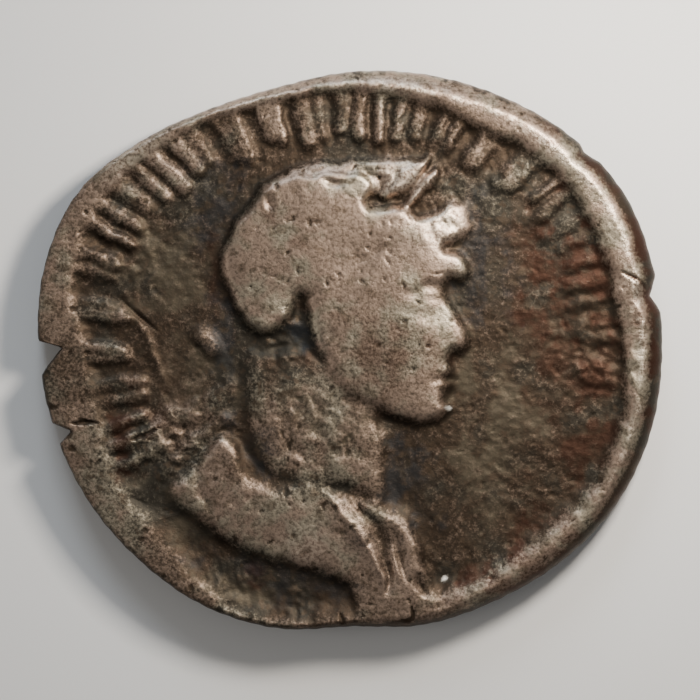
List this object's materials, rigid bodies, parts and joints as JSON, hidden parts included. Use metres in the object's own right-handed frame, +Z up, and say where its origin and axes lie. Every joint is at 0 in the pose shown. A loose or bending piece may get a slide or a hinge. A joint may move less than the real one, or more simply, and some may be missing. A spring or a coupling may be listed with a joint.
{
  "type": "drachm",
  "caption": "Worn ancient silver coin on an uneven oval flan, with a wreathed and draped bust in profile inside a raised rim.",
  "frame": {"origin": "under the middle of the coin, on the surface that it lies on", "axes": "+Z up out of the portrait side, +Y towards the top of the portrait, +X the way the profile faces"},
  "size_m": [0.0194, 0.0174, 0.0016],
  "materials": {
    "silver": "struck silver, worn on the highs, with brown toning in the hollows"
  },
  "bodies": {
    "root": {"coin": "silver"}
  },
  "joints": []
}
